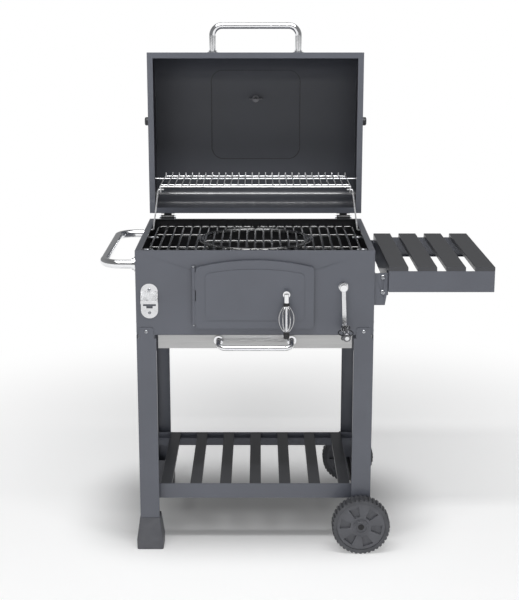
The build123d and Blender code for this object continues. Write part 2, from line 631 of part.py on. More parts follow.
def hood():
    inner_half = lid_width / 2 - sheet
    emboss = 3.0
    panel = (0.0, 200.0)
    skin = hood_solid(0, 0, inner_half) - hood_solid(0, sheet, inner_half + 1)

    def column(size, corner):
        return Pos(panel[0], panel[1], 980) * extrude(RectangleRounded(size, size, corner), 100)

    raised = hood_solid(emboss, 0, inner_half) - hood_solid(emboss, sheet, inner_half + 1)
    band = hood_solid(emboss, 0, inner_half) - hood_solid(0, sheet, inner_half + 1)
    outer_column, inner_column = column(266, 36), column(266 - 2 * sheet, 34)
    shell = (skin - outer_column) + (raised & inner_column) + (band & (outer_column - inner_column))
    for y0, y1 in ((lid_y0 + 1, lid_y0 + lid_flange), (lid_y1 - lid_flange, lid_y1 - 1)):
        shell += block(-inner_half, inner_half, y0, y1, lid_rim_z, lid_rim_z + sheet)
    gauge = (0.0, 153.0)
    shell -= along_z(6.0, gauge[0], gauge[1], 1000, 1100)
    add("lid", "hood_shell", opened(shell))

    vent = (206.0, 905.0)
    end = Pos(inner_half, 0, 0) * extrude(hood_section(0, 0), sheet)
    end += block(inner_half - lid_flange + sheet, inner_half, lid_y0 + lid_flange, lid_y1 - lid_flange,
                 lid_rim_z, lid_rim_z + sheet)
    pivot_y = hinge_y - rack_arm[1]
    pivot_z = hinge_z + rack_arm[0]
    end -= along_x(2.05, inner_half - 1, inner_half + 3, pivot_y, pivot_z)
    end -= along_x(4.05, inner_half - 1, inner_half + 3, vent[0], vent[1])
    axis = Axis((0, vent[0], vent[1]), (1, 0, 0))
    hole = along_x(10, inner_half - 1, inner_half + 8, vent[0] + 26, vent[1])
    disc = along_x(41, inner_half + sheet + 0.3, inner_half + sheet + 2.3, vent[0], vent[1])
    for turn in range(3):
        end -= hole.rotate(axis, 120 * turn + 30)
        disc -= hole.rotate(axis, 120 * turn + 30)
    stem = along_x(4, inner_half - 3, inner_half + sheet + 6, vent[0], vent[1])
    knob = along_x(12, inner_half + sheet + 6, inner_half + sheet + 18, vent[0], vent[1])
    knob = fillet(knob.edges().filter_by(GeomType.CIRCLE).sort_by(Axis.X)[-1], 4)
    nut = along_x(7, inner_half - 4, inner_half - 0.4, vent[0], vent[1])
    knob = join([stem, knob, nut])
    disc -= along_x(4, inner_half, inner_half + 8, vent[0], vent[1])
    for name, place in (("right", lambda s: s), ("left", mirrored_x)):
        add("lid", "hood_end_" + name, opened(place(end)))
        add("vent_" + name, "vent_" + name, opened(group([place(disc), place(knob)])))

    grip_half, grip_y, base_z = 120.0, -65.5, lid_rim_z + 45.0
    wall_y = lid_y0 + 20 * 45 / 236
    foot_y = wall_y - 3
    handle = tube([(-grip_half, foot_y, base_z), (-grip_half, grip_y, base_z),
                   (grip_half, grip_y, base_z), (grip_half, foot_y, base_z)], [27, 27], 9, 1.5)
    flange = along_y(15, -grip_half, foot_y, wall_y, base_z)
    flange += along_y(12, -grip_half, foot_y - 4, foot_y, base_z)
    flange -= along_y(9, -grip_half, foot_y - 6, foot_y, base_z)
    flange -= hood_solid(0, 0, inner_half)
    add("lid", "hood_handle", opened(group([handle, flange, mirrored_x(flange)])))

    top = lid_rim_z + 256
    bezel = along_z(30, gauge[0], gauge[1], top + 1, top + 12)
    bezel -= along_z(26, gauge[0], gauge[1], top + 8, top + 13)
    bezel += along_z(5.5, gauge[0], gauge[1], top - 70, top + 2)
    dial = along_z(25.5, gauge[0], gauge[1], top + 8, top + 9)
    needle = block(gauge[0] - 1, gauge[0] + 1, gauge[1] - 16, gauge[1] + 5, top + 9, top + 10)
    wing = along_z(10, gauge[0], gauge[1], top - 14, top - 6)
    wing -= along_z(5.5, gauge[0], gauge[1], top - 20, top)
    for side in (-1, 1):
        x0, x1 = sorted((side * 8, side * 19))
        wing += block(x0, x1, gauge[1] - 1.2, gauge[1] + 1.2, top - 18, top - 7)
    around_stem = Pos(0, gauge[1], 1000) * (Cylinder(40, 400) - Cylinder(6.5, 400))
    bezel -= hood_solid(emboss, 0, inner_half) & around_stem
    add("lid", "thermometer", opened(group([bezel, dial + needle, wing])))


def hood_hinges():
    ears, leaves, pins = [], [], []
    for x in (-hinge_half_spacing, hinge_half_spacing):
        for x0, x1 in ((x - 19, x - 11), (x + 11, x + 19)):
            ear = along_x(7, x0, x1, hinge_y, hinge_z)
            ear += block(x0, x1, box_depth, hinge_y, hinge_z - 22, hinge_z - 4)
            ear -= along_x(3, x0 - 1, x1 + 1, hinge_y, hinge_z)
            ears.append(ear)
        ears.append(block(x - 11, x + 11, box_depth, box_depth + 2.5, hinge_z - 40, hinge_z - 14))
        leaf = along_x(7, x - 10.7, x + 10.7, hinge_y, hinge_z)
        leaf += block(x - 10.7, x + 10.7, box_depth, hinge_y - 3, hinge_z + 2.5, hinge_z + 7)
        leaf += block(x - 19, x + 19, box_depth, box_depth + 2, hinge_z + 4, hinge_z + 40)
        leaf -= along_x(3.05, x - 20, x + 20, hinge_y, hinge_z)
        leaf -= hood_solid(0, 0, 400)
        leaves.append(leaf)
        pin = along_x(3, x - 21, x + 21, hinge_y, hinge_z)
        pin += along_x(5, x - 23, x - 21, hinge_y, hinge_z) + along_x(5, x + 21, x + 23, hinge_y, hinge_z)
        pins.append(pin)
    ears = [ears[i] + ears[i + 1] + ears[i + 2] for i in (0, 3)]
    add("stand", "hood_hinge_brackets", group(ears))
    add("lid", "hood_hinge_leaves", opened(group(leaves)))
    return pins


# ---- warming rack and its struts, drawn where they are with the hood open ----
def warming_rack():
    y_front, y_back = 330.0, 544.0
    side = 258.5
    wires = []
    count = 28
    for place in range(count):
        x = -side + place * 2 * side / (count - 1)
        wires.append(tube([(x, y_front - 4, rack_z + 3), (x, y_back, rack_z + 3), (x, y_back, rack_z + 10)],
                          [4], rack_wire))
    wires.append(along_x(2, -half + 0.5, half - 0.5, rack_pivot[0], rack_z))
    for y in (y_front, 364.0, y_back - 8):
        wires.append(along_x(2, -side - 2, side + 2, y, rack_z))
    for x in (-side, side):
        drop_wire = along_z(2, x, rack_front_eye[0] - 8, rack_front_eye[1] - 0.5, rack_z)
        eye = Pos(x, rack_front_eye[0], rack_front_eye[1]) * Rot(0, 90, 0) * Torus(7.0, 1.8)
        wires.append(drop_wire)
        wires.append(eye)
    add("rack", "warming_rack", join(wires))
    top_x, foot_x = side + 4, 279.0
    strut = tube([
        (half + 3, strut_foot[0], strut_foot[1]),
        (foot_x, strut_foot[0], strut_foot[1]),
        (top_x + 3, rack_front_eye[0], rack_front_eye[1]),
        (side - 8, rack_front_eye[0], rack_front_eye[1]),
    ], [4, 4], 2)
    add("struts", "rack_struts", group([strut, mirrored_x(strut)]))


# ---- loose fasteners of the stand ----
def fasteners(table_bolts):
    screws = list(table_bolts)

    def dome_y(x, y, z, radius=4.5):
        head = along_y(radius, x, y - 2.4, y, z)
        return fillet(head.edges().filter_by(GeomType.CIRCLE).sort_by(Axis.Y)[0], 1.8)

    def dome_x(x, y, z):
        head = along_x(4.5, x, x + 2.4, y, z)
        return fillet(head.edges().filter_by(GeomType.CIRCLE).sort_by(Axis.X)[-1], 1.8)

    tab_x = half - leg_width / 2
    for x in (-tab_x, tab_x):
        screws.append(dome_y(x, -leg_sheet, 589))
        screws.append(mirrored_y(dome_y(x, -leg_sheet, 589)))
    for y in (20.0, box_depth - 20.0):
        for z in (586.0, 610.0):
            screws.append(dome_x(half, y, z))
            screws.append(mirrored_x(dome_x(half, y, z)))
    for y in (shelf_inset + 5, box_depth - shelf_inset - 5):
        screws.append(dome_x(half, y, 148))
        screws.append(mirrored_x(dome_x(half, y, 148)))
    for z in opener_screw_z:
        screws.append(dome_y(opener_x, -opener_sheet, z, 4))
    add("stand", "body_screws", group(screws))


def build():
    door_knuckle, door_pin = fire_door()
    firebox(door_knuckle)
    for step in (legs, wheels, shelf, side_handle, bottle_opener, door_latch, crank, lift, ash_drawer, grates,
                 hood, warming_rack):
        step()
    add("stand", "hinge_pins", group(hood_hinges() + [door_pin]))
    fasteners(side_table())
    low = [min(getattr(s.bounding_box().min, a) for s in nodes.values()) for a in "XYZ"]
    high = [max(getattr(s.bounding_box().max, a) for s in nodes.values()) for a in "XYZ"]
    return Vector(-(low[0] + high[0]) / 2, -(low[1] + high[1]) / 2, -low[2])


offset = build()

if __name__ == "__main__":
    os.makedirs("parts", exist_ok=True)
    for name, shape in nodes.items():
        export_step(Pos(offset) * shape, "parts/" + name + ".step")
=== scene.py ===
import math

import bmesh
import bpy
from mathutils import Matrix, Vector


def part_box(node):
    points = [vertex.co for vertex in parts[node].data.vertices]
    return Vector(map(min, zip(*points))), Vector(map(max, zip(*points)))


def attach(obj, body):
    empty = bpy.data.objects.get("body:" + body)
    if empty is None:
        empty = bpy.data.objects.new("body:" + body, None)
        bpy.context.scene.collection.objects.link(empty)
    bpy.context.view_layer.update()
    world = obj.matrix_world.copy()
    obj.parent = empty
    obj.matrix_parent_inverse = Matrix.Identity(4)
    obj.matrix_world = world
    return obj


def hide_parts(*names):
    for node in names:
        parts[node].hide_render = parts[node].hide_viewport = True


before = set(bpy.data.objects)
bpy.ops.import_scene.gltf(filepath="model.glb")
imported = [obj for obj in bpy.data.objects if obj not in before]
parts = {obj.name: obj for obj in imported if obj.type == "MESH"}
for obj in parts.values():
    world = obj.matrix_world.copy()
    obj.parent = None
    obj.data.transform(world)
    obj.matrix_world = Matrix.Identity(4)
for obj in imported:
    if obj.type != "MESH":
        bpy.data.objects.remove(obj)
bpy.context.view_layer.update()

print("frame loaded:", len(parts), "nodes")


# shader helpers
class Wire:
    # a socket that turns arithmetic into Math nodes
    def __init__(self, finish, socket):
        self.finish = finish
        self.socket = socket

    def maths(self, operation, first, second):
        return self.finish.node("ShaderNodeMath", {"operation": operation}, {0: first, 1: second})

    def __add__(self, other):
        return self.maths("ADD", self, other)

    def __radd__(self, other):
        return self.maths("ADD", other, self)

    def __sub__(self, other):
        return self.maths("SUBTRACT", self, other)

    def __rsub__(self, other):
        return self.maths("SUBTRACT", other, self)

    def __mul__(self, other):
        return self.maths("MULTIPLY", self, other)

    def __rmul__(self, other):
        return self.maths("MULTIPLY", other, self)

    def __gt__(self, other):
        return self.maths("GREATER_THAN", self, other)

    def __lt__(self, other):
        return self.maths("LESS_THAN", self, other)


class Finish:
    # one procedural material, or the nodes of the given owner, such as the world
    def __init__(self, name, owner=None):
        self.material = owner or bpy.data.materials.new(name)
        self.material.use_nodes = True
        self.tree = self.material.node_tree
        self.tree.nodes.clear()
        place = self.tree.nodes.new("ShaderNodeTexCoord")
        self.place = Wire(self, place.outputs["Object"])
        self.facing = Wire(self, place.outputs["Normal"])
        self.direction = Wire(self, place.outputs["Generated"])

    def node(self, kind, settings=None, sockets=None, out=0):
        made = self.tree.nodes.new(kind)
        for key, value in (settings or {}).items():
            setattr(made, key, value)
        for key, value in (sockets or {}).items():
            if isinstance(value, Wire):
                self.tree.links.new(value.socket, made.inputs[key])
            else:
                made.inputs[key].default_value = value
        return Wire(self, made.outputs[out]) if made.outputs else None

    def vector(self, operation, first, second=None, out=0):
        sockets = {0: first} if second is None else {0: first, 1: second}
        return self.node("ShaderNodeVectorMath", {"operation": operation}, sockets, out)

    def fade(self, value, start, end, low, high):
        # a smooth change from low to high as the value goes from start to end
        sockets = {"Value": value, "From Min": start, "From Max": end, "To Min": low, "To Max": high}
        return self.node("ShaderNodeMapRange", {"interpolation_type": "SMOOTHSTEP"}, sockets)

    def noise(self, size, detail=2.0, where=None, roughness=0.5):
        sockets = {"Vector": where or self.place, "Scale": 1 / size, "Detail": detail, "Roughness": roughness}
        return self.node("ShaderNodeTexNoise", None, sockets)

    def stretched(self, scale, turn=(0, 0, 0)):
        return self.node("ShaderNodeMapping", None, {"Vector": self.place, "Scale": scale, "Rotation": turn})

    def spread(self, value, low, high, start=0.0, end=1.0):
        sockets = {"Value": value, "From Min": start, "From Max": end, "To Min": low, "To Max": high}
        return self.node("ShaderNodeMapRange", None, sockets)

    def tint(self, first, second, factor):
        sockets = {0: factor, 6: first, 7: second}
        return self.node("ShaderNodeMix", {"data_type": "RGBA"}, sockets, 2)

    def shaded(self, colour, shade):
        settings = {"data_type": "RGBA", "blend_type": "MULTIPLY"}
        return self.node("ShaderNodeMix", settings, {0: 1.0, 6: colour, 7: shade}, 2)

    def axis(self, vector, index):
        return self.node("ShaderNodeSeparateXYZ", None, {0: vector}, index)

    def bump(self, height, strength, distance, over=None):
        sockets = {"Height": height, "Strength": strength, "Distance": distance}
        if over:
            sockets["Normal"] = over
        return self.node("ShaderNodeBump", None, sockets)

    def inward(self, centre):
        # 1 where a surface faces the middle of the casing it belongs to, 0 outside
        offset = self.vector("SUBTRACT", tuple(centre), self.place)
        return self.vector("DOT_PRODUCT", offset, self.facing, 1) > 0.0

    def beyond(self, centre, half):
        # distance outside a box round a centre
        size = self.vector("ABSOLUTE", self.vector("SUBTRACT", self.place, tuple(centre)))
        over = self.vector("MAXIMUM", self.vector("SUBTRACT", size, tuple(half)), (0, 0, 0))
        return self.vector("LENGTH", over, out=1)

    def surface(self, sockets):
        shader = self.node("ShaderNodeBsdfPrincipled", None, sockets)
        self.node("ShaderNodeOutputMaterial", None, {"Surface": shader})
        return self.material


def rgb(red, green, blue):
    # a display colour, 0 to 255, as the linear colour a shader takes
    def linear(value):
        value /= 255
        return value / 12.92 if value <= 0.04045 else ((value + 0.055) / 1.055) ** 2.4
    return (linear(red), linear(green), linear(blue), 1)


# finishes
powderLook = {
    "colour": rgb(86, 89, 98),
    "cloudShift": 0.07,          # slow change of shade over a panel
    "grainShift": 0.05,          # fine fleck of the coat
    "roughness": 0.42,
    "peelSize": 0.0016,          # orange peel
    "peelDepth": 0.00007,
    "inside": rgb(66, 68, 75),
    "insideRoughness": 0.4,
    "insideGloss": 1.0,          # only where the inside turns upward
    "gloss": 0.35,
    "glossRoughness": 0.1,
}


def powderCoat(name, look, centre=None, inside=None, panelShade=None):
    f = Finish(name)
    cloud = f.noise(0.16, 3)
    grain = f.noise(0.0011, 2, roughness=0.7)
    peel = f.noise(look["peelSize"], 2)
    colour = look["colour"]
    roughness = look["roughness"]
    gloss = look["gloss"]
    if centre is not None:
        mask = f.inward(centre)
        colour = f.tint(colour, inside or look["inside"], mask)
        roughness = mask * (look["insideRoughness"] - roughness) + roughness
        upward = f.spread(f.axis(f.facing, 2), 0, look["insideGloss"], 0.15, 0.4)
        gloss = mask * upward + (1 - mask) * gloss
    if panelShade is not None:        # painted shade: a dark line along the edge of the pressed square in the hood, where its step lies in shade
        outside = f.beyond(panelShade["centre"], panelShade["half"])
        line = (outside > panelShade["corner"] - panelShade["line"]) * (outside < panelShade["corner"] + panelShade["line"])
        colour = f.tint(colour, panelShade["colour"], line * panelShade["strength"])
    shade = f.spread(cloud, 1 - look["cloudShift"], 1 + look["cloudShift"], 0.3, 0.7)
    shade = shade * f.spread(grain, 1 - look["grainShift"], 1 + look["grainShift"], 0.3, 0.7)
    colour = f.shaded(colour, shade)
    return f.surface({
        "Base Color": colour,
        "Roughness": roughness + (cloud - 0.5) * 0.12,
        "Normal": f.bump(peel, 0.55, look["peelDepth"]),
        "IOR": 1.5,
        "Coat Weight": gloss,
        "Coat Roughness": look["glossRoughness"],
    })


enamelLook = {
    "colour": rgb(9, 9, 10),
    "fleck": rgb(24, 24, 27),
    "fleckSize": 0.0007,
    "waveSize": 0.006,
    "waveDepth": 0.00025,
    "roughness": 0.12,
    "coatRoughness": 0.05,
    "index": 1.75,
}


def blackEnamel(name, look):
    f = Finish(name)
    fleck = f.noise(look["fleckSize"], 2, roughness=0.75)
    wave = f.noise(look["waveSize"], 2)
    return f.surface({
        "Base Color": f.tint(look["colour"], look["fleck"], f.spread(fleck, 0, 1, 0.62, 0.74)),
        "Roughness": f.spread(wave, look["roughness"] - 0.06, look["roughness"] + 0.08, 0.3, 0.7),
        "Normal": f.bump(wave, 0.4, look["waveDepth"]),
        "IOR": look["index"],
        "Coat Weight": 1.0,
        "Coat Roughness": look["coatRoughness"],
        "Coat IOR": look["index"],
    })


sootLook = {"colour": rgb(30, 30, 32), "ash": rgb(58, 57, 58), "patch": 0.05, "grit": 0.0015, "depth": 0.0002}


def soot(name, look):
    f = Finish(name)
    patch = f.noise(look["patch"], 4, roughness=0.6)
    grit = f.noise(look["grit"], 3)
    return f.surface({
        "Base Color": f.tint(look["colour"], look["ash"], f.spread(patch, 0, 1, 0.4, 0.7)),
        "Roughness": f.spread(grit, 0.5, 0.75, 0.3, 0.7),
        "Normal": f.bump(grit, 0.5, look["depth"]),
    })


def plated(name, look):
    # nickel or chrome over a polished base: faint cloud in the gloss and hairline rubbing
    f = Finish(name)
    cloud = f.noise(0.02, 3)
    hair = f.noise(0.0005, 2, where=f.stretched(look["lay"]))
    tarnish = f.spread(cloud, 0, 1, 0.5, 0.8)
    gloss = f.spread(cloud, look["roughness"], look["roughness"] * 1.8, 0.3, 0.7)
    return f.surface({
        "Base Color": f.tint(look["colour"], look["dull"], tarnish),
        "Metallic": 1.0,
        "Roughness": gloss + (hair - 0.5) * 0.06,
        "Normal": f.bump(hair, 0.12, 0.00002),
    })


def brushedSteel(name, look):
    f = Finish(name)
    lines = f.noise(0.001, 3, where=f.stretched(look["lay"]), roughness=0.65)
    broad = f.noise(0.004, 2, where=f.stretched(look["lay"]))
    cloud = f.noise(0.09, 3)
    tone = f.spread(lines, 0, 1, 0.3, 0.7) * 0.6 + f.spread(broad, 0, 1, 0.3, 0.7) * 0.4
    gloss = f.spread(lines, look["roughness"] - 0.07, look["roughness"] + 0.07, 0.3, 0.7)
    return f.surface({
        "Base Color": f.tint(look["dark"], look["colour"], tone),
        "Metallic": 1.0,
        "Roughness": gloss + (cloud - 0.5) * 0.08,
        "Normal": f.bump(lines, 0.35, 0.00004),
    })


def mouldedPlastic(name, look):
    f = Finish(name)
    texture = f.node("ShaderNodeTexVoronoi", {"feature": "SMOOTH_F1"},
                     {"Vector": f.place, "Scale": 1 / look["texture"], "Smoothness": 0.6})
    cloud = f.noise(0.03, 3)
    scuff = f.noise(0.004, 4, where=f.stretched((1, 5, 1)))
    worn = f.spread(scuff, 0, 1, 0.66, 0.78)
    colour = f.tint(look["colour"], look["dark"], f.spread(cloud, 0, 1, 0.35, 0.7))
    gloss = f.spread(cloud, look["roughness"] - 0.05, look["roughness"] + 0.07, 0.3, 0.7)
    return f.surface({
        "Base Color": f.tint(colour, look["scuffed"], worn * 0.5),
        "Roughness": gloss + worn * 0.1,
        "Normal": f.bump(texture, 0.35, look["texture"] * 0.12),
    })


def zincPlate(name):
    f = Finish(name)
    patch = f.node("ShaderNodeTexVoronoi", None, {"Vector": f.place, "Scale": 260.0}, 1)
    grey = f.node("ShaderNodeRGBToBW", None, {0: patch})
    fine = f.noise(0.001, 2)
    return f.surface({
        "Base Color": f.tint(rgb(150, 152, 156), rgb(192, 194, 198), grey),
        "Metallic": 1.0,
        "Roughness": f.spread(grey, 0.3, 0.46) + (fine - 0.5) * 0.1,
        "Normal": f.bump(fine, 0.2, 0.00003),
    })


def cageWire(name, axisIndex, low, high, wireLook):
    # bright wire, with the two ferrules at the ends of the grip in black
    f = Finish(name)
    along = f.axis(f.place, axisIndex)
    ferrule = (along < low) + (along > high)
    cloud = f.noise(0.006, 3)
    return f.surface({
        "Base Color": f.tint(wireLook, rgb(24, 24, 25), ferrule),
        "Metallic": 1 - ferrule,
        "Roughness": f.spread(cloud, 0.14, 0.26, 0.3, 0.7) + ferrule * 0.2,
        "Normal": f.bump(f.noise(0.001, 2), 0.2, 0.00003),
    })


def dialFace(name, centre, radius):
    # a cream dial with a warm and a hot band, and its black minute ring
    f = Finish(name)
    offset = f.vector("SUBTRACT", f.place, tuple(centre))
    x, z = f.axis(offset, 0), f.axis(offset, 2)
    distance = f.vector("LENGTH", offset, out=1)
    turn = f.node("ShaderNodeMath", {"operation": "ARCTAN2"}, {0: x, 1: z})
    ring = (distance > radius * 0.62) * (distance < radius * 0.78)
    warm = ring * (turn > 0.1) * (turn < 1.2)
    hot = ring * (turn > 1.2) * (turn < 2.4)
    paper = f.noise(0.0008, 2)
    colour = f.tint(rgb(232, 230, 222), rgb(220, 217, 208), paper)
    colour = f.tint(colour, rgb(206, 170, 72), warm)
    colour = f.tint(colour, rgb(178, 62, 44), hot)
    return f.surface({"Base Color": colour, "Roughness": f.spread(paper, 0.4, 0.55)})


def gaugeMetal(name, wallY):
    # chrome outside the hood's skin, a darker, duller grey metal on the stem and wing nut inside it
    f = Finish(name)
    inside = f.axis(f.place, 1) < wallY
    cloud = f.noise(0.01, 3)
    return f.surface({
        "Base Color": f.tint(chromeLook["colour"], rgb(120, 120, 124), inside),
        "Metallic": 1.0 - 0.4 * inside,
        "Roughness": f.spread(cloud, 0.08, 0.16, 0.3, 0.7) + inside * 0.3,
    })


hoodLow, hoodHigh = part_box("hood_shell")
boxLow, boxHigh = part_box("firebox_front")
backLow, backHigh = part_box("firebox_back")
hoodMiddle = (hoodLow + hoodHigh) / 2
boxMiddle = Vector(((boxLow.x + boxHigh.x) / 2, (boxLow.y + backHigh.y) / 2, (boxLow.z + boxHigh.z) / 2))

chromeLook = {
    "colour": (0.86, 0.865, 0.88, 1),
    "dull": (0.78, 0.785, 0.8, 1),
    "roughness": 0.07,
    "lay": (1, 1, 6),
}
wireLook = {
    "colour": (0.93, 0.93, 0.94, 1),
    "dull": (0.8, 0.8, 0.82, 1),
    "roughness": 0.26,
    "lay": (6, 6, 6),
}
steelLook = {
    "colour": (0.56, 0.56, 0.56, 1),
    "dark": (0.47, 0.47, 0.47, 1),
    "roughness": 0.42,
    "lay": (0.02, 1, 1),
}
satinLook = {
    "colour": (0.74, 0.745, 0.76, 1),
    "dull": (0.66, 0.665, 0.68, 1),
    "roughness": 0.16,
    "lay": (1, 1, 1),
}
capLook = {
    "colour": (0.2, 0.2, 0.21, 1),
    "dull": (0.14, 0.14, 0.15, 1),
    "roughness": 0.2,
    "lay": (1, 1, 1),
}
trayLook = {
    "colour": (0.66, 0.67, 0.68, 1),
    "dark": (0.5, 0.51, 0.52, 1),
    "roughness": 0.4,
    "lay": (0.04, 1, 1),
}
plasticLook = {"colour": rgb(88, 89, 94), "dark": rgb(80, 81, 86), "scuffed": rgb(108, 109, 113),
               "roughness": 0.46, "texture": 0.0009}
tyreLook = {"colour": rgb(78, 79, 83), "dark": rgb(66, 67, 71), "scuffed": rgb(112, 112, 114),
            "roughness": 0.55, "texture": 0.0007}
knobLook = {"colour": rgb(60, 61, 65), "dark": rgb(48, 49, 52), "scuffed": rgb(90, 90, 94),
            "roughness": 0.38, "texture": 0.0008}
darkLook = {"colour": rgb(34, 34, 36), "dark": rgb(26, 26, 28), "scuffed": rgb(70, 70, 72),
            "roughness": 0.42, "texture": 0.0012}

gaugeLow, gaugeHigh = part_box("thermometer")
gaugeFinish = gaugeMetal("gaugeMetal", gaugeHigh.y - 0.014)
greyPowder = powderCoat("greyPowder", powderLook)
# painted shade: the shelf and table slats use a darker copy of the same grey powder coat, standing in for the
# shade they lie in
shadedSlatPowder = powderCoat("shadedSlatPowder", {**powderLook, "colour": rgb(60, 61, 65), "gloss": 0.15})
# painted shade along the pressed square's edge: its centre, half size, corner, line half width, shade colour
# and strength
pressedShadeLook = {
    "centre": ((gaugeLow.x + gaugeHigh.x) / 2, 0, (gaugeLow.z + gaugeHigh.z) / 2 - 0.047),
    "half": (0.097, 9, 0.097),
    "corner": 0.035,
    "line": 0.0011,
    "colour": rgb(30, 31, 35),
    "strength": 0.8,
}
hoodPowder = powderCoat("hoodPowder", powderLook, hoodMiddle, panelShade=pressedShadeLook)
fireboxPowder = powderCoat("fireboxPowder", powderLook, boxMiddle, rgb(26, 26, 29))
chrome = plated("chrome", chromeLook)
brightWire = plated("brightWire", wireLook)
drawerSteel = brushedSteel("drawerSteel", steelLook)
satinPlate = plated("satinPlate", satinLook)
capMetal = plated("capMetal", capLook)
traySteel = brushedSteel("traySteel", trayLook)
enamel = blackEnamel("blackEnamel", enamelLook)
fireStained = soot("fireStained", sootLook)
greyPlastic = mouldedPlastic("greyPlastic", plasticLook)
tyrePlastic = mouldedPlastic("tyrePlastic", tyreLook)
knobPlastic = mouldedPlastic("knobPlastic", knobLook)
darkMetal = mouldedPlastic("darkMetal", darkLook)
zinc = zincPlate("zincPlate")

latchLow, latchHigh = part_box("latch_grip")
crankLow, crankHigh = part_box("crank_grip_cage")
ferrule = 0.0075
latchWire = cageWire("latchWire", 2, latchLow.z + ferrule, latchHigh.z - ferrule, (0.5, 0.5, 0.51, 1))
crankWire = cageWire("crankWire", 1, crankLow.y + ferrule, crankHigh.y - ferrule, (0.2, 0.2, 0.21, 1))

finishOf = {
    "firebox_front": fireboxPowder, "firebox_back": fireboxPowder,
    "firebox_side_left": fireboxPowder, "firebox_side_right": fireboxPowder, "firebox_floor": fireStained,
    "leg_front_left": greyPowder, "leg_front_right": greyPowder,
    "leg_rear_left": greyPowder, "leg_rear_right": greyPowder,
    "foot_front_left": greyPlastic, "foot_rear_left": greyPlastic,
    "wheel_axle": darkMetal, "tyre_front": tyrePlastic, "tyre_rear": tyrePlastic,
    "hub_front": greyPlastic, "hub_rear": greyPlastic,
    "shelf_front_rail": greyPowder, "shelf_rear_rail": greyPowder, "shelf_slats": shadedSlatPowder,
    "table_aprons": greyPowder, "table_ends": greyPowder, "table_slats": shadedSlatPowder,
    "table_box_brackets": greyPowder, "table_tongues": greyPowder,
    "side_handle": chrome, "hood_handle": chrome, "bottle_opener": satinPlate,
    "fire_door": greyPowder, "latch_grip": latchWire, "latch_tip": darkMetal, "latch_spindle": chrome,
    "crank_shaft": chrome, "crank_arm": satinPlate, "lift_arms_driven": zinc, "lift_arms_idle": zinc,
    "crank_grip_cage": crankWire, "crank_grip_cap": capMetal, "lift_bearings": chrome,
    "charcoal_tray": traySteel, "fire_grate": enamel,
    "drawer_front": drawerSteel, "drawer_body": drawerSteel, "drawer_handle": chrome, "drawer_runners": zinc,
    "cooking_grate_left": enamel, "cooking_grate_right": enamel, "grate_insert": enamel, "grate_studs": zinc,
    "hood_shell": hoodPowder, "hood_end_left": hoodPowder, "hood_end_right": hoodPowder,
    "hood_hinge_brackets": darkMetal, "hood_hinge_leaves": darkMetal, "hinge_pins": zinc,
    "thermometer": gaugeFinish, "vent_left": knobPlastic, "vent_right": knobPlastic,
    "warming_rack": brightWire, "rack_struts": brightWire, "body_screws": zinc,
}
for name, part in parts.items():
    part.data.materials.clear()
    part.data.materials.append(finishOf[name])
print("finishes on", len(finishOf), "nodes")


# folded and moulded edges
edgeLook = {"width": 0.0008, "door": 0.002, "segments": 2, "angle": 32.0}
roundedParts = ("firebox", "leg", "shelf", "table", "drawer_front", "drawer_body", "fire_door", "hood_shell",
                "hood_end", "foot", "tyre", "hub", "charcoal", "bottle")
roundedNodes = [name for name in parts if name.startswith(roundedParts)]
sharpNodes = ("shelf_front_rail", "shelf_rear_rail")
for name, part in parts.items():
    weld = part.modifiers.new("weld", "WELD")
    weld.merge_threshold = 0.00001
    if name in roundedNodes and name not in sharpNodes:
        bevel = part.modifiers.new("edge", "BEVEL")
        bevel.width = edgeLook["door"] if name == "fire_door" else edgeLook["width"]
        bevel.segments = edgeLook["segments"]
        bevel.limit_method = "ANGLE"
        bevel.angle_limit = math.radians(edgeLook["angle"])
        bevel.harden_normals = False
    smooth = part.modifiers.new("normals", "WEIGHTED_NORMAL")
    smooth.keep_sharp = True
print("edges rounded on", len(roundedNodes), "nodes")


# mesh helpers
def meshPiece(name, body, finish, build, smooth=True):
    shape = bmesh.new()
    build(shape)
    bmesh.ops.recalc_face_normals(shape, faces=shape.faces)
    mesh = bpy.data.meshes.new(name)
    shape.to_mesh(mesh)
    shape.free()
    piece = bpy.data.objects.new(name, mesh)
    bpy.context.scene.collection.objects.link(piece)
    mesh.materials.append(finish)
    if smooth:
        mesh.shade_smooth()
        mesh.set_sharp_from_angle(angle=math.radians(35))
    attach(piece, body)
    return piece


def islands(part):
    # the separate solids of a node, each as its lowest and highest corner
    shape = bmesh.new()
    shape.from_mesh(part.data)
    bmesh.ops.remove_doubles(shape, verts=shape.verts, dist=0.00001)
    shape.verts.ensure_lookup_table()
    seen = set()
    boxes = []
    for start in shape.verts:
        if start in seen:
            continue
        stack, corners = [start], []
        seen.add(start)
        while stack:
            vert = stack.pop()
            corners.append(vert.co.copy())
            for link in vert.link_edges:
                other = link.other_vert(vert)
                if other not in seen:
                    seen.add(other)
                    stack.append(other)
        low = Vector(min(c[i] for c in corners) for i in range(3))
        high = Vector(max(c[i] for c in corners) for i in range(3))
        boxes.append((low, high))
    shape.free()
    return boxes


def lathe(shape, outline, matrix, steps=32):
    # turns (radius, height) points about the local Z axis
    rings = []
    for radius, height in outline:
        if radius < 1e-6:
            rings.append([shape.verts.new(matrix @ Vector((0, 0, height)))])
            continue
        ring = []
        for step in range(steps):
            angle = 2 * math.pi * step / steps
            spot = Vector((radius * math.cos(angle), radius * math.sin(angle), height))
            ring.append(shape.verts.new(matrix @ spot))
        rings.append(ring)
    for low, high in zip(rings, rings[1:]):
        for step in range(steps):
            nextStep = (step + 1) % steps
            if len(low) == 1:
                shape.faces.new((low[0], high[step], high[nextStep]))
            elif len(high) == 1:
                shape.faces.new((low[step], high[0], low[nextStep]))
            else:
                shape.faces.new((low[step], high[step], high[nextStep], low[nextStep]))


# screws
screwLook = {
    "crossLength": 0.62,         # of the head's radius
    "crossWidth": 0.2,
    "crossDepth": 0.45,          # of the head's height
}


